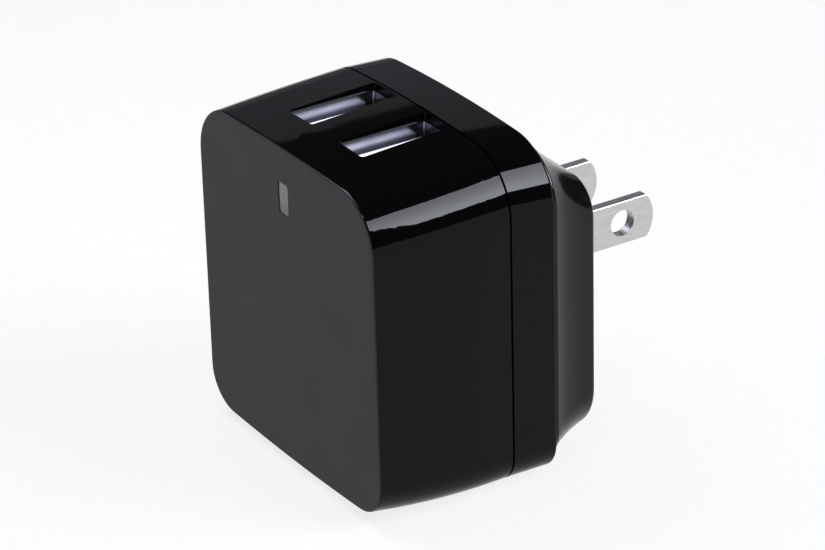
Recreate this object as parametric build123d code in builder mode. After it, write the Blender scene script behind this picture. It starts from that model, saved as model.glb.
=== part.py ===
"""USB wall charger with a slide-off plug head, millimetres, +Z up.

Origin: middle of the plug head's wall face, halfway between the two blades.
+Y runs along the blades into the wall, the matte front face looks towards -Y.
"""

import os

from build123d import *

os.makedirs("parts", exist_ok=True)

# ---- stations along the depth of the charger
FRONT_Y = -33.6
BELLY_Y = -23.9
SEAM_Y = -14.0
REAR_Y = -7.4
SEAM_GAP = 0.3
HEAD_GAP = 0.15
FLANGE_Y = REAR_Y + HEAD_GAP
FLARE_Y = -4.6
WALL_FACE_Y = 0.0

# ---- outlines as half width, top, bottom, top radius, bottom radius, arch of top and bottom
FRONT_OUTLINE = (20.75, 20.9, -23.65, 7.4, 5.4, 0.6)
BELLY_OUTLINE = (21.35, 21.4, -24.65, 7.6, 5.0, 0.8)
SEAM_OUTLINE = (21.5, 21.9, -24.9, 7.8, 4.7, 1.0)
REAR_OUTLINE = (21.65, 21.7, -24.9, 8.4, 4.5, 1.0)
FLANGE_OUTLINE = (21.4, 21.35, -24.65, 8.3, 5.6, 1.0)
FLARE_OUTLINE = (20.2, 17.9, -23.8, 6.4, 6.6, 0.6)
HEAD_OUTLINE = (19.7, 14.0, -22.6, 4.7, 8.0, 0.2)

FRONT_EDGE = 0.35
REAR_EDGE = 0.3
FLANGE_EDGE = 0.35
HEAD_EDGE = 0.5
SHELL_WALL = 2.0
FRONT_WALL = 2.2
BACK_WALL = 2.0
FIT_GAP = 0.1
INSET_ROUNDING = 0.8

# ---- USB ports in the top
PORT_X = 5.9
PORT_Y = -20.8
PORT_LENGTH = 12.86
PORT_WIDTH = 5.58
PORT_CORNER = 0.5
SHELL_LENGTH = 12.8
SHELL_WIDTH = 5.52
SHELL_SHEET = 0.2
SHELL_MOUTH_Z = 20.7
SHELL_FOOT_Z = 8.2
TONGUE_LENGTH = 10.7
TONGUE_THICK = 1.84
TONGUE_INSET = 0.72
TONGUE_TOP_Z = 19.15
TONGUE_EDGE = 0.2
TONGUE_BASE_GAP = 0.1
TONGUE_BASE_TOP_Z = 10.4
CONTACT_PITCHES = (-3.5, -1.0, 1.0, 3.5)
CONTACT_WIDTH = 1.0
CONTACT_SHEET = 0.2
CONTACT_TOP_Z = 18.6

# ---- indicator in the front face
WINDOW_Z = 13.85
WINDOW_WIDTH = 2.2
WINDOW_HEIGHT = 4.3
WINDOW_CORNER = 0.5
WINDOW_DEPTH = 3.4
WINDOW_RECESS = 0.1
LAMP_WIDTH = 2.0
LAMP_DEPTH = 0.8
LAMP_HEIGHT = 3.2
LAMP_GAP = 0.2

# ---- slide rails on the back and grooves in the plug head
RAIL_X = 13.6
RAIL_ROOT = 3.0
RAIL_TIP = 5.0
RAIL_HEIGHT = 2.0
RAIL_TOP_Z = 10.0
RAIL_BOTTOM_Z = -20.0
GROOVE_GAP = 0.2
STOP_GAP = 0.1

# ---- plug head interior
PLATE_BACK_Y = -4.2
HEAD_WALL = 1.6
HEAD_BACK_WALL = 1.8
CHANNEL_WIDTH = 4.2
CHANNEL_TOP_Z = 4.0
HEAD_BELOW_Z = -26.5

# ---- slots in the back wall for the leaf contacts
LEAF_SLOT_Z = -4.0
LEAF_SLOT_WIDTH = 3.4
LEAF_SLOT_HEIGHT = 9.0

# ---- blades
BLADE_X = 6.35
BLADE_THICK = 1.5
BLADE_HEIGHT = 6.2
BLADE_TIP_Y = 18.3
BLADE_TIP_BULGE = 1.15
BLADE_ROOT_Y = -3.6
BLADE_HOLE_Y = 13.35
BLADE_HOLE_RADIUS = 1.85
BLADE_EDGE = 0.25
STRIP_SHEET = 0.6
STRIP_WIDTH = 3.4
STRIP_BOTTOM_Z = -12.0

# ---- boards and parts on them
BOARD_SHEET = 1.6
MAIN_BOARD_Y = -12.6
MAIN_BOARD_WIDTH = 35.0
MAIN_BOARD_TOP_Z = 4.6
MAIN_BOARD_BOTTOM_Z = -21.0
USB_BOARD_TOP_Z = 8.1
USB_BOARD_WIDTH = 34.0
USB_BOARD_LENGTH = 15.6
SHEET_Y = -30.2
SHEET_WIDTH = 32.0
SHEET_HEIGHT = 22.0
SHEET_THICK = 0.3
SAFETY_ROUNDING = 0.8
CHOKE_FLANGE_RADIUS = 2.3
CHOKE_FLANGE = 0.8
CHOKE_LIMB_RADIUS = 1.3
CHOKE_LENGTH = 8.0
CHOKE_WIRE_RADIUS = 2.1
CHOKE_WIRE_BORE = 1.4


def section(y, outline, inset=0.0):
    """One loft section at depth y: rounded outline with a gently arched top and bottom."""
    half_width, top, bottom, top_radius, bottom_radius, arch = outline
    half_width -= inset
    top -= inset
    bottom += inset
    with BuildSketch(Plane.XZ.offset(-y)) as cut:
        with BuildLine():
            right = Line((half_width, bottom + arch), (half_width, top - arch))
            crown = ThreePointArc(right @ 1, (0, top), (-half_width, top - arch))
            left = Line(crown @ 1, (-half_width, bottom + arch))
            ThreePointArc(left @ 1, (0, bottom), right @ 0)
        make_face()
        fillet(cut.vertices().sort_by(Axis.Y)[-2:], top_radius - inset * INSET_ROUNDING)
        fillet(cut.vertices().sort_by(Axis.Y)[:2], bottom_radius - inset * INSET_ROUNDING)
    add(cut.sketch)


def between(first, second, share):
    """Outline part of the way from the first outline to the second."""
    return tuple(a + (b - a) * share for a, b in zip(first, second))


def put_out(part, label):
    """Name a finished piece and write its file."""
    part.label = label
    export_step(part, "parts/" + label + ".step")


def seam_outline_at(y):
    """Outer outline of the body at depth y behind the belly."""
    if y < SEAM_Y:
        return between(BELLY_OUTLINE, SEAM_OUTLINE, (y - BELLY_Y) / (SEAM_Y - BELLY_Y))
    return between(SEAM_OUTLINE, REAR_OUTLINE, (y - SEAM_Y) / (REAR_Y - SEAM_Y))


def blade_sketch(x):
    """Side view of one blade with its rounded tip and its hole, at position x."""
    half = BLADE_HEIGHT / 2
    with BuildSketch(Plane.YZ.offset(x)) as side_view:
        with BuildLine():
            low = Line((BLADE_ROOT_Y, -half), (BLADE_TIP_Y - BLADE_TIP_BULGE, -half))
            tip = ThreePointArc(low @ 1, (BLADE_TIP_Y, 0), (BLADE_TIP_Y - BLADE_TIP_BULGE, half))
            high = Line(tip @ 1, (BLADE_ROOT_Y, half))
            Line(high @ 1, low @ 0)
        make_face()
        with Locations((BLADE_HOLE_Y, 0)):
            Circle(BLADE_HOLE_RADIUS, mode=Mode.SUBTRACT)
    return side_view.sketch


# ---- front shell: matte face, gloss sides, two port openings and the indicator opening
front_end_y = SEAM_Y - SEAM_GAP / 2
front_end = seam_outline_at(front_end_y)
cavity_front_y = FRONT_Y + FRONT_WALL
with BuildPart() as front_shell:
    section(FRONT_Y, FRONT_OUTLINE)
    section(BELLY_Y, BELLY_OUTLINE)
    section(front_end_y, front_end)
    loft()
    fillet(front_shell.faces().sort_by(Axis.Y)[0].edges(), FRONT_EDGE)
    section(cavity_front_y, between(FRONT_OUTLINE, BELLY_OUTLINE, 0.25), SHELL_WALL)
    section(BELLY_Y, BELLY_OUTLINE, SHELL_WALL)
    section(front_end_y, front_end, SHELL_WALL)
    loft(mode=Mode.SUBTRACT)
    with BuildSketch(Plane.XY.offset(SHELL_FOOT_Z)):
        with Locations((-PORT_X, PORT_Y), (PORT_X, PORT_Y)):
            RectangleRounded(PORT_WIDTH, PORT_LENGTH, PORT_CORNER)
    extrude(amount=SEAM_OUTLINE[1] - SHELL_FOOT_Z + 1, mode=Mode.SUBTRACT)
    with BuildSketch(Plane.XZ.offset(-FRONT_Y)):
        with Locations((0, WINDOW_Z)):
            RectangleRounded(
                WINDOW_WIDTH + FIT_GAP, WINDOW_HEIGHT + FIT_GAP, WINDOW_CORNER + FIT_GAP / 2
            )
    extrude(amount=-FRONT_WALL, mode=Mode.SUBTRACT)
put_out(front_shell.part, "front_shell")

# ---- rear shell: short gloss ring, back wall and two slide rails
rear_start_y = SEAM_Y + SEAM_GAP / 2
rear_start = seam_outline_at(rear_start_y)
with BuildPart() as rear_shell:
    section(rear_start_y, rear_start)
    section(REAR_Y, REAR_OUTLINE)
    loft()
    fillet(rear_shell.faces().sort_by(Axis.Y)[-1].edges(), REAR_EDGE)
    section(rear_start_y, rear_start, SHELL_WALL)
    section(REAR_Y - BACK_WALL, REAR_OUTLINE, SHELL_WALL)
    loft(mode=Mode.SUBTRACT)
    with BuildSketch(Plane.XY.offset(RAIL_BOTTOM_Z)):
        for side in (-1, 1):
            with BuildLine():
                Polyline(
                    (side * RAIL_X - RAIL_ROOT / 2, REAR_Y - FIT_GAP),
                    (side * RAIL_X - RAIL_ROOT / 2, REAR_Y + RAIL_HEIGHT / 2),
                    (side * RAIL_X - RAIL_TIP / 2, REAR_Y + RAIL_HEIGHT / 2),
                    (side * RAIL_X - RAIL_TIP / 2, REAR_Y + RAIL_HEIGHT),
                    (side * RAIL_X + RAIL_TIP / 2, REAR_Y + RAIL_HEIGHT),
                    (side * RAIL_X + RAIL_TIP / 2, REAR_Y + RAIL_HEIGHT / 2),
                    (side * RAIL_X + RAIL_ROOT / 2, REAR_Y + RAIL_HEIGHT / 2),
                    (side * RAIL_X + RAIL_ROOT / 2, REAR_Y - FIT_GAP),
                    close=True,
                )
            make_face()
    extrude(amount=RAIL_TOP_Z - RAIL_BOTTOM_Z)
    with BuildSketch(Plane.XZ.offset(-REAR_Y)):
        with Locations((-BLADE_X, LEAF_SLOT_Z), (BLADE_X, LEAF_SLOT_Z)):
            Rectangle(LEAF_SLOT_WIDTH, LEAF_SLOT_HEIGHT)
    extrude(amount=BACK_WALL, mode=Mode.SUBTRACT)
put_out(rear_shell.part, "rear_shell")

# ---- indicator: clear light pipe behind its opening and the lamp at its inner end
with BuildPart() as indicator_window:
    with BuildSketch(Plane.XZ.offset(-FRONT_Y - WINDOW_RECESS)):
        with Locations((0, WINDOW_Z)):
            RectangleRounded(WINDOW_WIDTH, WINDOW_HEIGHT, WINDOW_CORNER)
    extrude(amount=-WINDOW_DEPTH)
put_out(indicator_window.part, "indicator_window")

lamp_y = FRONT_Y + WINDOW_RECESS + WINDOW_DEPTH + LAMP_GAP
with BuildPart() as indicator_lamp:
    with Locations((0, lamp_y, WINDOW_Z)):
        Box(LAMP_WIDTH, LAMP_DEPTH, LAMP_HEIGHT, align=(Align.CENTER, Align.MIN, Align.CENTER))
put_out(indicator_lamp.part, "indicator_lamp")

# ---- USB receptacles: sheet metal shell, tongue and spring contacts
for side, name in ((-1, "left"), (1, "right")):
    port_x = side * PORT_X
    tongue_x = port_x - SHELL_WIDTH / 2 + SHELL_SHEET + TONGUE_INSET + TONGUE_THICK / 2
    with BuildPart() as usb_shell:
        with BuildSketch(Plane.XY.offset(SHELL_FOOT_Z)):
            with Locations((port_x, PORT_Y)):
                RectangleRounded(SHELL_WIDTH, SHELL_LENGTH, PORT_CORNER)
                RectangleRounded(
                    SHELL_WIDTH - 2 * SHELL_SHEET,
                    SHELL_LENGTH - 2 * SHELL_SHEET,
                    PORT_CORNER - SHELL_SHEET / 2,
                    mode=Mode.SUBTRACT,
                )
        extrude(amount=SHELL_MOUTH_Z - SHELL_FOOT_Z)
    put_out(usb_shell.part, "usb_shell_" + name)

    with BuildPart() as usb_tongue:
        with BuildSketch(Plane.XY.offset(SHELL_FOOT_Z)):
            with Locations((port_x, PORT_Y)):
                Rectangle(
                    SHELL_WIDTH - 2 * SHELL_SHEET - TONGUE_BASE_GAP,
                    SHELL_LENGTH - 2 * SHELL_SHEET - TONGUE_BASE_GAP,
                )
        extrude(amount=TONGUE_BASE_TOP_Z - SHELL_FOOT_Z)
        with BuildSketch(Plane.XY.offset(TONGUE_BASE_TOP_Z)):
            with Locations((tongue_x, PORT_Y)):
                Rectangle(TONGUE_THICK, TONGUE_LENGTH)
        extrude(amount=TONGUE_TOP_Z - TONGUE_BASE_TOP_Z)
        chamfer(usb_tongue.faces().sort_by(Axis.Z)[-1].edges(), TONGUE_EDGE)
    put_out(usb_tongue.part, "usb_tongue_" + name)

    contact_x = tongue_x + TONGUE_THICK / 2
    with BuildPart() as usb_contacts:
        for pitch in CONTACT_PITCHES:
            with Locations((contact_x, PORT_Y + pitch, TONGUE_BASE_TOP_Z)):
                Box(
                    CONTACT_SHEET,
                    CONTACT_WIDTH,
                    CONTACT_TOP_Z - TONGUE_BASE_TOP_Z,
                    align=(Align.MIN, Align.CENTER, Align.MIN),
                )
    put_out(usb_contacts.part, "usb_contacts_" + name)

# ---- boards
with BuildPart() as usb_board:
    with Locations((0, PORT_Y, USB_BOARD_TOP_Z)):
        Box(
            USB_BOARD_WIDTH,
            USB_BOARD_LENGTH,
            BOARD_SHEET,
            align=(Align.CENTER, Align.CENTER, Align.MAX),
        )
put_out(usb_board.part, "usb_board")

with BuildPart() as main_board:
    with BuildSketch(Plane.XZ.offset(-MAIN_BOARD_Y)):
        with Locations((0, (MAIN_BOARD_TOP_Z + MAIN_BOARD_BOTTOM_Z) / 2)):
            RectangleRounded(MAIN_BOARD_WIDTH, MAIN_BOARD_TOP_Z - MAIN_BOARD_BOTTOM_Z, 3.0)
    extrude(amount=-BOARD_SHEET)
put_out(main_board.part, "main_board")

# ---- transformer on the main board
TRAFO_X = 1.5
TRAFO_Z = -6.0
CORE_WIDTH = 15.0
CORE_DEPTH = 13.0
CORE_HEIGHT = 12.6
CORE_YOKE = 2.0
CORE_LIMB = 2.6
CORE_CENTRE = 4.0
BOBBIN_GAP = 0.1
BOBBIN_SHEET = 0.8
BOBBIN_TUBE = CORE_CENTRE + 2 * BOBBIN_GAP + 1.2
window_width = CORE_WIDTH - 2 * CORE_LIMB
window_depth = CORE_DEPTH - 2 * CORE_YOKE


def trafo_box(inset_y, width, depth, height, mode=Mode.ADD):
    """Box of the transformer, its rear face inset_y in front of the main board."""
    with Locations((TRAFO_X, MAIN_BOARD_Y - inset_y, TRAFO_Z)):
        Box(width, depth, height, align=(Align.CENTER, Align.MAX, Align.CENTER), mode=mode)


with BuildPart() as transformer_core:
    trafo_box(0, CORE_WIDTH, CORE_DEPTH, CORE_HEIGHT)
    trafo_box(CORE_YOKE, window_width, window_depth, CORE_HEIGHT, Mode.SUBTRACT)
    trafo_box(CORE_YOKE, CORE_CENTRE, window_depth, CORE_CENTRE)
put_out(transformer_core.part, "transformer_core")

bobbin_y = CORE_YOKE + BOBBIN_GAP
bobbin_width = window_width - 4 * BOBBIN_GAP
bobbin_depth = window_depth - 2 * BOBBIN_GAP
bobbin_height = CORE_HEIGHT - 2 * BOBBIN_GAP
spool_depth = bobbin_depth - 2 * BOBBIN_SHEET
bobbin_bore = CORE_CENTRE + BOBBIN_GAP
with BuildPart() as transformer_bobbin:
    trafo_box(bobbin_y, bobbin_width, bobbin_depth, bobbin_height)
    trafo_box(bobbin_y + BOBBIN_SHEET, bobbin_width, spool_depth, bobbin_height, Mode.SUBTRACT)
    trafo_box(bobbin_y, BOBBIN_TUBE, bobbin_depth, BOBBIN_TUBE)
    trafo_box(bobbin_y, bobbin_bore, bobbin_depth, bobbin_bore, Mode.SUBTRACT)
put_out(transformer_bobbin.part, "transformer_bobbin")

with BuildPart() as transformer_winding:
    with BuildSketch(Plane.XZ.offset(bobbin_y + BOBBIN_SHEET + BOBBIN_GAP - MAIN_BOARD_Y)):
        with Locations((TRAFO_X, TRAFO_Z)):
            RectangleRounded(bobbin_width - 2 * BOBBIN_GAP, bobbin_height - BOBBIN_SHEET, 1.5)
            Rectangle(BOBBIN_TUBE + BOBBIN_GAP, BOBBIN_TUBE + BOBBIN_GAP, mode=Mode.SUBTRACT)
    extrude(amount=spool_depth - 2 * BOBBIN_GAP)
put_out(transformer_winding.part, "transformer_winding")


def board_cans(places):
    """Round cans standing on the front of the main board, given as x, z, radius, length."""
    for x, z, radius, length in places:
        with BuildSketch(Plane.XZ.offset(-MAIN_BOARD_Y)) as foot:
            with Locations((x, z)):
                Circle(radius)
        extrude(foot.sketch, amount=length)


def board_blocks(places):
    """Blocks standing on the front of the main board, given as x, z, width, height, depth."""
    for x, z, width, height, depth in places:
        with Locations((x, MAIN_BOARD_Y, z)):
            Box(width, depth, height, align=(Align.CENTER, Align.MAX, Align.CENTER))


with BuildPart() as input_capacitors:
    board_cans(((-12.6, -15.6, 4.0, 15.0), (-12.6, -6.8, 4.0, 15.0)))
put_out(input_capacitors.part, "input_capacitors")

with BuildPart() as output_capacitors:
    board_cans(((13.6, 0.0, 3.15, 11.0), (13.6, -7.0, 3.15, 11.0)))
put_out(output_capacitors.part, "output_capacitors")

with BuildPart() as safety_capacitor:
    board_blocks(((-1.5, 2.4, 7.0, 3.4, 6.0),))
    fillet(safety_capacitor.faces().sort_by(Axis.Y)[0].edges(), SAFETY_ROUNDING)
put_out(safety_capacitor.part, "safety_capacitor")

with BuildPart() as bridge_rectifier:
    board_blocks(((-12.6, 1.4, 6.4, 4.4, 2.6),))
put_out(bridge_rectifier.part, "bridge_rectifier")

with BuildPart() as switching_transistor:
    board_blocks(((4.0, -17.2, 6.6, 4.6, 9.0),))
put_out(switching_transistor.part, "switching_transistor")

with BuildPart() as controller_chip:
    board_blocks(((-4.0, -16.8, 4.0, 5.0, 1.6),))
put_out(controller_chip.part, "controller_chip")

with BuildPart() as fuse:
    board_cans(((13.4, -17.4, 1.9, 8.0),))
put_out(fuse.part, "fuse")

CHOKE_X = 13.4
CHOKE_Z = -12.8
with BuildPart() as choke_core:
    board_cans(((CHOKE_X, CHOKE_Z, CHOKE_LIMB_RADIUS, CHOKE_LENGTH),))
    for start in (0, CHOKE_LENGTH - CHOKE_FLANGE):
        with BuildSketch(Plane.XZ.offset(start - MAIN_BOARD_Y)):
            with Locations((CHOKE_X, CHOKE_Z)):
                Circle(CHOKE_FLANGE_RADIUS)
        extrude(amount=CHOKE_FLANGE)
put_out(choke_core.part, "choke_core")

with BuildPart() as choke_winding:
    with BuildSketch(Plane.XZ.offset(CHOKE_FLANGE + FIT_GAP - MAIN_BOARD_Y)):
        with Locations((CHOKE_X, CHOKE_Z)):
            Circle(CHOKE_WIRE_RADIUS)
            Circle(CHOKE_WIRE_BORE, mode=Mode.SUBTRACT)
    extrude(amount=CHOKE_LENGTH - 2 * (CHOKE_FLANGE + FIT_GAP))
put_out(choke_winding.part, "choke_winding")

with BuildPart() as insulation_sheet:
    with Locations((0, SHEET_Y, (MAIN_BOARD_TOP_Z + MAIN_BOARD_BOTTOM_Z) / 2)):
        Box(SHEET_WIDTH, SHEET_THICK, SHEET_HEIGHT)
put_out(insulation_sheet.part, "insulation_sheet")

# ---- mains leaf contacts: fixed to the main board, bowed out through the back wall
CONTACT_FOOT_Y = MAIN_BOARD_Y + BOARD_SHEET
LEAF_SHEET = 0.4
LEAF_WIDTH = 2.6
LEAF_BOW_Y = PLATE_BACK_Y - 0.6
for side, name in ((-1, "neutral"), (1, "line")):
    with BuildPart() as mains_contact:
        with BuildSketch(Plane.YZ.offset(side * BLADE_X - LEAF_WIDTH / 2)):
            with BuildLine():
                leaf = Polyline(
                    (CONTACT_FOOT_Y, -9.4),
                    (CONTACT_FOOT_Y + 1.0, -7.6),
                    (REAR_Y - 0.4, -7.4),
                    (LEAF_BOW_Y, -3.4),
                    (REAR_Y - 0.4, -0.4),
                    (REAR_Y - 0.4, -0.4 + LEAF_SHEET),
                    (LEAF_BOW_Y + LEAF_SHEET, -3.4),
                    (REAR_Y - 0.4, -7.4 - LEAF_SHEET),
                    (CONTACT_FOOT_Y + 1.0, -7.6 - LEAF_SHEET),
                    (CONTACT_FOOT_Y, -9.4 - LEAF_SHEET),
                    close=True,
                )
            make_face()
        extrude(amount=LEAF_WIDTH)
    put_out(mains_contact.part, "mains_contact_" + name)


# ---- plug head: outer moulding, inner plate with grooves, contact strips and blades
def groove_cut():
    """Grooves for the rails and open channels for the leaf contacts."""
    with BuildSketch(Plane.XY.offset(HEAD_BELOW_Z)) as grooves:
        for side in (-1, 1):
            centre = side * RAIL_X
            root = RAIL_ROOT / 2 + GROOVE_GAP
            tip = RAIL_TIP / 2 + GROOVE_GAP
            step_y = REAR_Y + RAIL_HEIGHT / 2 - GROOVE_GAP
            floor_y = REAR_Y + RAIL_HEIGHT + GROOVE_GAP
            with BuildLine():
                Polyline(
                    (centre - root, FLANGE_Y - 1),
                    (centre - root, step_y),
                    (centre - tip, step_y),
                    (centre - tip, floor_y),
                    (centre + tip, floor_y),
                    (centre + tip, step_y),
                    (centre + root, step_y),
                    (centre + root, FLANGE_Y - 1),
                    close=True,
                )
            make_face()
    extrude(grooves.sketch, amount=RAIL_TOP_Z + STOP_GAP - HEAD_BELOW_Z, mode=Mode.SUBTRACT)
    channel_y = (FLANGE_Y - 1 + PLATE_BACK_Y) / 2
    with BuildSketch(Plane.XY.offset(HEAD_BELOW_Z)) as channels:
        with Locations((-BLADE_X, channel_y), (BLADE_X, channel_y)):
            Rectangle(CHANNEL_WIDTH, PLATE_BACK_Y - FLANGE_Y + 1)
    extrude(channels.sketch, amount=CHANNEL_TOP_Z - HEAD_BELOW_Z, mode=Mode.SUBTRACT)


plate_pocket_wall = HEAD_WALL - 0.2
with BuildPart() as plug_head_shell:
    section(FLANGE_Y, FLANGE_OUTLINE)
    section(FLARE_Y, FLARE_OUTLINE)
    section(WALL_FACE_Y, HEAD_OUTLINE)
    loft()
    fillet(plug_head_shell.faces().sort_by(Axis.Y)[-1].edges(), HEAD_EDGE)
    fillet(plug_head_shell.faces().sort_by(Axis.Y)[0].edges(), FLANGE_EDGE)
    section(FLANGE_Y, FLANGE_OUTLINE, HEAD_WALL)
    section(PLATE_BACK_Y, FLARE_OUTLINE, plate_pocket_wall)
    loft(mode=Mode.SUBTRACT)
    section(PLATE_BACK_Y, HEAD_OUTLINE, HEAD_WALL)
    section(WALL_FACE_Y - HEAD_BACK_WALL, HEAD_OUTLINE, HEAD_WALL)
    loft(mode=Mode.SUBTRACT)
    with BuildSketch(Plane.XZ.offset(-WALL_FACE_Y)):
        with Locations((-BLADE_X, 0), (BLADE_X, 0)):
            Rectangle(BLADE_THICK + FIT_GAP, BLADE_HEIGHT + FIT_GAP)
    extrude(amount=HEAD_BACK_WALL + 0.1, mode=Mode.SUBTRACT)
    groove_cut()
put_out(plug_head_shell.part, "plug_head_shell")

with BuildPart() as plug_head_plate:
    section(FLANGE_Y, FLANGE_OUTLINE, HEAD_WALL + FIT_GAP)
    section(PLATE_BACK_Y - FIT_GAP / 2, FLARE_OUTLINE, plate_pocket_wall + FIT_GAP)
    loft()
    groove_cut()
put_out(plug_head_plate.part, "plug_head_plate")

for side, name in ((-1, "neutral"), (1, "line")):
    with BuildPart() as contact_strip:
        with Locations((side * BLADE_X, PLATE_BACK_Y, BLADE_HEIGHT / 2)):
            Box(
                STRIP_WIDTH,
                STRIP_SHEET,
                BLADE_HEIGHT / 2 - STRIP_BOTTOM_Z,
                align=(Align.CENTER, Align.MIN, Align.MAX),
            )
    put_out(contact_strip.part, "contact_strip_" + name)

    with BuildPart() as blade:
        extrude(blade_sketch(side * BLADE_X - BLADE_THICK / 2), amount=BLADE_THICK)
        long_edges = blade.edges().filter_by(Axis.Y)
        fillet(long_edges, BLADE_EDGE)
    put_out(blade.part, "blade_" + name)
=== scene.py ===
"""Looks, light and camera for the USB wall charger with the slide-off plug head.

Metres, in the frame's own axes: +Z up, +Y along the blades, matte face towards -Y.
"""

import math

import bmesh
import bpy
from mathutils import Matrix, Vector


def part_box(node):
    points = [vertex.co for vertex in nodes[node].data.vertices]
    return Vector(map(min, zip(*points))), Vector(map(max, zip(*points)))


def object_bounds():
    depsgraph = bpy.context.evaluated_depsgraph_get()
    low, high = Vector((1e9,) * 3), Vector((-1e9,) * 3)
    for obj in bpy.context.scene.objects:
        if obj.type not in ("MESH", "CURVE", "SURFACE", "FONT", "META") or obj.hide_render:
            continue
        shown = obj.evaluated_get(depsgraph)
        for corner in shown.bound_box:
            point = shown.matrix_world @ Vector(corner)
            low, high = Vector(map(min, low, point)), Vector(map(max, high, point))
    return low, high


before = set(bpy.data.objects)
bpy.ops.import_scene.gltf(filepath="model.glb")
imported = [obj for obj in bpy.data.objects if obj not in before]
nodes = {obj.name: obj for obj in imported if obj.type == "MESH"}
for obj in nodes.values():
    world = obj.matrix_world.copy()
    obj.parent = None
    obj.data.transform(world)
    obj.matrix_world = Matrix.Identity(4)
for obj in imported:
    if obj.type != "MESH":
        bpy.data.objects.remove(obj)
cad_low, cad_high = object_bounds()

MM = 0.001

# ---- places read from the frame
FACE_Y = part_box("front_shell")[0].y
window_low, window_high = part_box("indicator_window")

# ---- noise: nearly all of a pattern lies between these two levels
NOISE_LOW = 0.3
NOISE_HIGH = 0.7
NOISE_ROUGHNESS = 0.55

# ---- the Mix node keeps its own sockets for each kind of data
MIX_COLOUR_A = 6
MIX_COLOUR_B = 7
MIX_COLOUR_OUT = 2
MIX_NUMBER_A = 2
MIX_NUMBER_B = 3
MIX_NUMBER_OUT = 0


# ---- small helpers
def linear(code):
    """Linear colour with alpha from an sRGB hex code."""
    parts = [int(code[i : i + 2], 16) / 255 for i in (0, 2, 4)]
    return (*[p / 12.92 if p <= 0.04045 else ((p + 0.055) / 1.055) ** 2.4 for p in parts], 1.0)


def add(tree, kind, links=None, inputs=None, **settings):
    """Adds one node with its settings, plain input values and incoming links."""
    node = tree.nodes.new(kind)
    for name, value in settings.items():
        setattr(node, name, value)
    for name, value in (inputs or {}).items():
        node.inputs[name].default_value = value
    for name, source in (links or {}).items():
        tree.links.new(source, node.inputs[name])
    return node


def ramp(tree, source, stops):
    """Colour ramp with (position, hex) stops driven by source."""
    node = add(tree, "ShaderNodeValToRGB", {"Fac": source})
    while len(node.color_ramp.elements) < len(stops):
        node.color_ramp.elements.new(0.5)
    for element, (position, code) in zip(node.color_ramp.elements, stops):
        element.position = position
        element.color = linear(code)
    return node.outputs["Color"]


def spread(tree, source, low, high, start, end):
    """Maps source from low..high onto start..end with a smooth edge."""
    node = add(
        tree,
        "ShaderNodeMapRange",
        {"Value": source},
        {"From Min": low, "From Max": high, "To Min": start, "To Max": end},
        interpolation_type="SMOOTHSTEP",
    )
    return node.outputs["Result"]


def tones(tree, noise, dark, light):
    """Colour that drifts from dark to light with a noise pattern."""
    return ramp(tree, noise, ((NOISE_LOW, dark), (NOISE_HIGH, light)))


def drift(tree, noise, start, end):
    """Number that drifts from start to end with a noise pattern."""
    return spread(tree, noise, NOISE_LOW, NOISE_HIGH, start, end)


def new_material(name):
    """Empty node material: its tree, shader and Object coordinates."""
    material = bpy.data.materials.new(name)
    material.use_nodes = True
    tree = material.node_tree
    tree.nodes.clear()
    shader = add(tree, "ShaderNodeBsdfPrincipled")
    add(tree, "ShaderNodeOutputMaterial", {"Surface": shader.outputs["BSDF"]})
    place = add(tree, "ShaderNodeTexCoord").outputs["Object"]
    return material, tree, shader, place


def grain(tree, place, size_mm, detail=3.0):
    """Noise whose grains are about size_mm across."""
    return add(
        tree,
        "ShaderNodeTexNoise",
        {"Vector": place},
        {"Scale": 1 / (size_mm * MM), "Detail": detail, "Roughness": NOISE_ROUGHNESS},
    ).outputs["Fac"]


def bump(tree, shader, height, depth_mm, strength):
    """Bump of depth_mm on the shader from a height."""
    node = add(
        tree,
        "ShaderNodeBump",
        {"Height": height},
        {"Strength": strength, "Distance": depth_mm * MM},
    )
    tree.links.new(node.outputs["Normal"], shader.inputs["Normal"])


def dress(material, *names):
    """Gives CAD nodes this material."""
    for name in names:
        mesh = nodes[name].data
        mesh.materials.clear()
        mesh.materials.append(material)


# ---- materials
def shell_polycarbonate():
    """Moulded black polycarbonate, mirror-polished sides and a spark-eroded matte face."""
    material, tree, shader, place = new_material("polycarbonate_black_polished")
    # the matte texture covers the flat face and fades out just behind its edge
    matte_end = FACE_Y + 0.05 * MM
    polish_start = FACE_Y + 0.22 * MM
    axes = add(tree, "ShaderNodeSeparateXYZ", {"Vector": place})
    matte = spread(tree, axes.outputs["Y"], matte_end, polish_start, start=1.0, end=0.0)
    # eroded grit on the face, faint long waves under it, and worn patches on the polished sides
    grit = grain(tree, place, size_mm=0.12, detail=2.0)
    waves = grain(tree, place, size_mm=9.0, detail=1.0)
    wear = grain(tree, place, size_mm=0.6, detail=6.0)
    colour = add(tree, "ShaderNodeMix", {"Factor": matte}, data_type="RGBA")
    colour.inputs[MIX_COLOUR_A].default_value = linear("080809")
    tree.links.new(tones(tree, waves, "424244", "464648"), colour.inputs[MIX_COLOUR_B])
    tree.links.new(colour.outputs[MIX_COLOUR_OUT], shader.inputs["Base Color"])
    polished = spread(tree, wear, low=0.55, high=0.8, start=0.035, end=0.09)
    rough = add(tree, "ShaderNodeMix", {"Factor": matte}, data_type="FLOAT")
    tree.links.new(polished, rough.inputs[MIX_NUMBER_A])
    rough.inputs[MIX_NUMBER_B].default_value = 0.52
    tree.links.new(rough.outputs[MIX_NUMBER_OUT], shader.inputs["Roughness"])
    shader.inputs["IOR"].default_value = 1.5
    shader.inputs["Specular IOR Level"].default_value = 0.22
    height = add(tree, "ShaderNodeMath", {0: matte, 1: grit}, operation="MULTIPLY")
    bump(tree, shader, height.outputs[0], depth_mm=0.02, strength=0.5)
    return material


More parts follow.
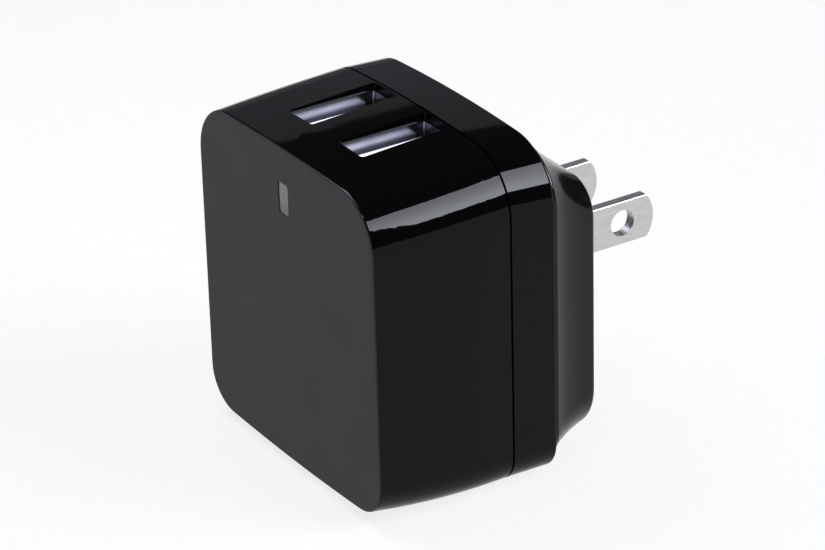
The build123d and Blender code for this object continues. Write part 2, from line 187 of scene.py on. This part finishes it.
def plug_head_abs():
    """Moulded black ABS with a satin tool finish, a little lighter than the polished shell."""
    material, tree, shader, place = new_material("abs_black_satin")
    cloud = grain(tree, place, size_mm=4.0, detail=2.0)
    grit = grain(tree, place, size_mm=0.1, detail=2.0)
    tree.links.new(tones(tree, cloud, "0d0d0e", "101011"), shader.inputs["Base Color"])
    tree.links.new(drift(tree, grit, start=0.13, end=0.18), shader.inputs["Roughness"])
    shader.inputs["IOR"].default_value = 1.53
    shader.inputs["Specular IOR Level"].default_value = 0.4
    bump(tree, shader, grit, depth_mm=0.004, strength=0.3)
    return material


def window_acrylic():
    """Frosted acrylic light pipe: milky grey, darker towards its lower edge."""
    material, tree, shader, place = new_material("acrylic_frosted")
    axes = add(tree, "ShaderNodeSeparateXYZ", {"Vector": place})
    cloud = grain(tree, place, size_mm=0.8)
    fade = spread(tree, axes.outputs["Z"], window_low.z, window_high.z, start=0.0, end=1.0)
    shade = add(tree, "ShaderNodeMath", {0: fade, 1: cloud}, operation="ADD")
    half = add(tree, "ShaderNodeMath", {0: shade.outputs[0]}, {1: 0.5}, operation="MULTIPLY")
    milk = ramp(tree, half.outputs[0], ((0.2, "5e5f60"), (0.5, "777879"), (0.8, "808182")))
    tree.links.new(milk, shader.inputs["Base Color"])
    shader.inputs["IOR"].default_value = 1.49
    shader.inputs["Roughness"].default_value = 0.3
    shader.inputs["Coat Weight"].default_value = 0.3
    bump(tree, shader, grain(tree, place, size_mm=0.25, detail=2.0), depth_mm=0.01, strength=0.2)
    return material


def metal(name, light, dark, rough, stretch, grain_mm, depth_mm):
    """Metal with a fine drawn grain along one axis, smoother on the grain's ridges."""
    material, tree, shader, place = new_material(name)
    drawn = add(tree, "ShaderNodeMapping", {"Vector": place}, {"Scale": stretch})
    lines = grain(tree, drawn.outputs["Vector"], grain_mm, detail=4.0)
    tree.links.new(tones(tree, lines, dark, light), shader.inputs["Base Color"])
    uneven = drift(tree, lines, start=rough * 1.2, end=rough * 0.85)
    tree.links.new(uneven, shader.inputs["Roughness"])
    shader.inputs["Metallic"].default_value = 1.0
    bump(tree, shader, lines, depth_mm, strength=0.3)
    return material


def moulded(name, light, dark, rough, grain_mm=0.5, ior=1.5, coat=0.0):
    """Moulded or sleeved plastic with a little colour drift and a fine surface."""
    material, tree, shader, place = new_material(name)
    cloud = grain(tree, place, size_mm=2.5)
    fine = grain(tree, place, grain_mm, detail=2.0)
    tree.links.new(tones(tree, cloud, dark, light), shader.inputs["Base Color"])
    uneven = drift(tree, fine, start=rough * 0.9, end=rough * 1.15)
    tree.links.new(uneven, shader.inputs["Roughness"])
    shader.inputs["IOR"].default_value = ior
    shader.inputs["Coat Weight"].default_value = coat
    bump(tree, shader, fine, depth_mm=0.01, strength=0.25)
    return material


dress(shell_polycarbonate(), "front_shell", "rear_shell")
dress(plug_head_abs(), "plug_head_shell", "plug_head_plate")
dress(window_acrylic(), "indicator_window")

# nickel-plated brass strip: pale grey with a soft sheen and fine lines along the blade
BLADE_GRAIN = (1.0, 0.15, 1.0)
dress(
    metal("brass_nickel_plated", "d2d2d0", "c6c6c4", 0.42, BLADE_GRAIN, 0.25, 0.003),
    "blade_line",
    "blade_neutral",
)
# tin-plated pressed steel: smooth, bright and slightly blue
SHEET_GRAIN = (1.0, 0.3, 1.0)
dress(
    metal("steel_tin_plated", "a6a6ae", "9c9ca4", 0.2, SHEET_GRAIN, 1.2, 0.001),
    "usb_shell_left",
    "usb_shell_right",
)
# gold-flashed spring bronze: small warm yellow glints
CONTACT_GRAIN = (1.0, 1.0, 0.3)
dress(
    metal("bronze_gold_flashed", "d8b060", "c49a4c", 0.3, CONTACT_GRAIN, 0.2, 0.003),
    "usb_contacts_left",
    "usb_contacts_right",
    "mains_contact_line",
    "mains_contact_neutral",
    "contact_strip_line",
    "contact_strip_neutral",
)
# enamelled copper wire: orange-brown metal shine
WIRE_GRAIN = (1.0, 0.3, 1.0)
dress(
    metal("copper_enamelled", "c8703c", "a85a2c", 0.35, WIRE_GRAIN, 0.3, 0.01),
    "choke_winding",
)
# white moulded nylon: a clean pale tongue in the dark port
dress(moulded("nylon_white", "f4f4f8", "e6e6ec", 0.35), "usb_tongue_left", "usb_tongue_right")
# clear cast epoxy: pale and glossy
dress(moulded("epoxy_clear_lamp", "dfe6ea", "c8d2d8", 0.2, coat=0.5), "indicator_lamp")
# solder mask on glass fibre: smooth dark green
dress(moulded("fibreglass_solder_mask", "1c5a34", "14482a", 0.35, 0.3), "usb_board", "main_board")
# sintered ferrite: dull, gritty charcoal
dress(moulded("ferrite_sintered", "2a2a2c", "202022", 0.6, 0.15), "transformer_core", "choke_core")
# black nylon: plain dark moulding with a slight sheen
dress(moulded("nylon_black_bobbin", "161616", "101010", 0.45), "transformer_bobbin")
# polyester tape over the winding: smooth yellow with a little shine
dress(moulded("polyester_tape_yellow", "d8a822", "c4941a", 0.3, 0.6), "transformer_winding")
# shrunk film sleeves: dark blue and shiny
dress(
    moulded("pvc_sleeve_dark_blue", "161c34", "10142a", 0.28, 0.8, coat=0.3),
    "input_capacitors",
    "output_capacitors",
)
# dipped epoxy: glossy mid-blue skin
dress(moulded("epoxy_dipped_blue", "2048a0", "183a88", 0.25, coat=0.4), "safety_capacitor")
# moulded epoxy packages: even, dull black
dress(
    moulded("epoxy_moulded_black", "181818", "101010", 0.5, 0.2),
    "bridge_rectifier",
    "switching_transistor",
    "controller_chip",
)
# sleeve over the fuse: soft brown
dress(moulded("sleeve_brown", "5a3a22", "4a2e1a", 0.45), "fuse")
# polyester film: smooth amber sheet
dress(moulded("polyester_film_amber", "b89a58", "a88a4a", 0.3), "insulation_sheet")


# ---- floor
FLOOR_SPAN = 6.0
FLOOR_CELLS = 4
FLOOR_GLOW = 0.84


def paper():
    """White paper sweep: dull white, with a glow of its own that keeps it pale all over."""
    material, tree, shader, place = new_material("paper_white")
    fibre = grain(tree, place, size_mm=1.5, detail=4.0)
    tree.links.new(tones(tree, fibre, "5c5c5c", "626262"), shader.inputs["Base Color"])
    shader.inputs["Roughness"].default_value = 0.9
    shader.inputs["Specular IOR Level"].default_value = 0.0
    shader.inputs["Emission Color"].default_value = (1, 1, 1, 1)
    shader.inputs["Emission Strength"].default_value = FLOOR_GLOW
    return material


floor_shape = bmesh.new()
bmesh.ops.create_grid(
    floor_shape, x_segments=FLOOR_CELLS, y_segments=FLOOR_CELLS, size=FLOOR_SPAN / 2
)
bmesh.ops.translate(floor_shape, vec=Vector((0, 0, cad_low.z)), verts=floor_shape.verts)
floor_mesh = bpy.data.meshes.new("floor")
floor_shape.to_mesh(floor_mesh)
floor_shape.free()
floor_mesh.materials.append(paper())
floor = bpy.data.objects.new("floor", floor_mesh)
bpy.context.scene.collection.objects.link(floor)

# ---- world: dim even studio
WORLD_STRENGTH = 0.03
world = bpy.data.worlds.new("studio")
world.use_nodes = True
background = world.node_tree.nodes["Background"]
background.inputs["Color"].default_value = linear("ffffff")
background.inputs["Strength"].default_value = WORLD_STRENGTH
bpy.context.scene.world = world


# ---- lights
CENTRE = (cad_low + cad_high) / 2
LIGHT_DISTANCE = 1.3
NEAR_LIGHT_DISTANCE = 0.17
SOFTBOX_TINT = "f2f5ff"


def direction(azimuth, elevation):
    """Unit vector away from the object; azimuth 0 is towards -Y and 90 towards +X."""
    turn, rise = math.radians(azimuth), math.radians(elevation)
    return Vector((math.sin(turn) * math.cos(rise), -math.cos(turn) * math.cos(rise), math.sin(rise)))


def softbox(name, azimuth, elevation, wide, high, radiance, fade=None, distance=LIGHT_DISTANCE):
    """Softbox round the object, wide and high in degrees; fade is its radiance at the top edge."""
    light = bpy.data.lights.new(name, "AREA")
    light.shape = "RECTANGLE"
    light.color = linear(SOFTBOX_TINT)[:3]
    light.size = 2 * distance * math.tan(math.radians(wide / 2))
    light.size_y = 2 * distance * math.tan(math.radians(high / 2))
    light.energy = radiance * math.pi * light.size * light.size_y
    if fade is not None:
        light.use_nodes = True
        tree = light.node_tree
        spot = add(tree, "ShaderNodeNewGeometry").outputs["Parametric"]
        sides = add(tree, "ShaderNodeSeparateXYZ", {"Vector": spot})
        share = spread(tree, sides.outputs["Y"], 0.0, 1.0, start=1.0, end=fade / radiance)
        tree.links.new(share, tree.nodes["Emission"].inputs["Strength"])
    back = direction(azimuth, elevation)
    lamp = bpy.data.objects.new(name, light)
    facing = back.to_track_quat("Z", "Y").to_matrix().to_4x4()
    lamp.matrix_world = Matrix.Translation(CENTRE + back * distance) @ facing
    lamp.visible_camera = False
    bpy.context.scene.collection.objects.link(lamp)


# mirrored as the long strip on the upper right corner
softbox("softbox_rear_right", azimuth=131.5, elevation=35, wide=37, high=28, radiance=17.0, fade=10.0)
# faint broad fill on the far side
softbox("softbox_rear_left", azimuth=-120, elevation=16, wide=70, high=24, radiance=0.35)
# close to the matte face, so the face is lighter towards its top left
softbox(
    "softbox_front_left",
    azimuth=-50,
    elevation=62,
    wide=30,
    high=30,
    radiance=8.4,
    distance=NEAR_LIGHT_DISTANCE,
)
# overhead light for the ports and the top
softbox("softbox_overhead", azimuth=0, elevation=88, wide=20, high=20, radiance=4.0)
# small hard light from the front right
softbox("kicker_front_right", azimuth=45, elevation=55, wide=8, high=8, radiance=20.0)

# ---- camera
AIM = Vector((0.0, -17.0, 0.0)) * MM
AIM_RIGHT = 1.85 * MM
AIM_UP = -1.40 * MM
CAMERA_AZIMUTH = 57.64
CAMERA_ELEVATION = 26.60
CAMERA_ROLL = -1.57
CAMERA_DISTANCE = 479.9 * MM
CAMERA_LENS = 163.2
CAMERA_SENSOR = 36.0
CAMERA_NEAR = 0.01
CAMERA_FAR = 20.0
VIEW_GAMMA = 0.85
back = direction(CAMERA_AZIMUTH, CAMERA_ELEVATION)
facing = back.to_track_quat("Z", "Y").to_matrix() @ Matrix.Rotation(math.radians(CAMERA_ROLL), 3, "Z")
camera_data = bpy.data.cameras.new("camera")
camera_data.lens = CAMERA_LENS
camera_data.sensor_width = CAMERA_SENSOR
camera_data.clip_start = CAMERA_NEAR
camera_data.clip_end = CAMERA_FAR
camera = bpy.data.objects.new("camera", camera_data)
offset = facing @ Vector((AIM_RIGHT, AIM_UP, CAMERA_DISTANCE))
camera.matrix_world = Matrix.Translation(AIM + offset) @ facing.to_4x4()
bpy.context.scene.collection.objects.link(camera)
bpy.context.scene.camera = camera
bpy.context.scene.view_settings.view_transform = "Standard"
bpy.context.scene.view_settings.gamma = VIEW_GAMMA
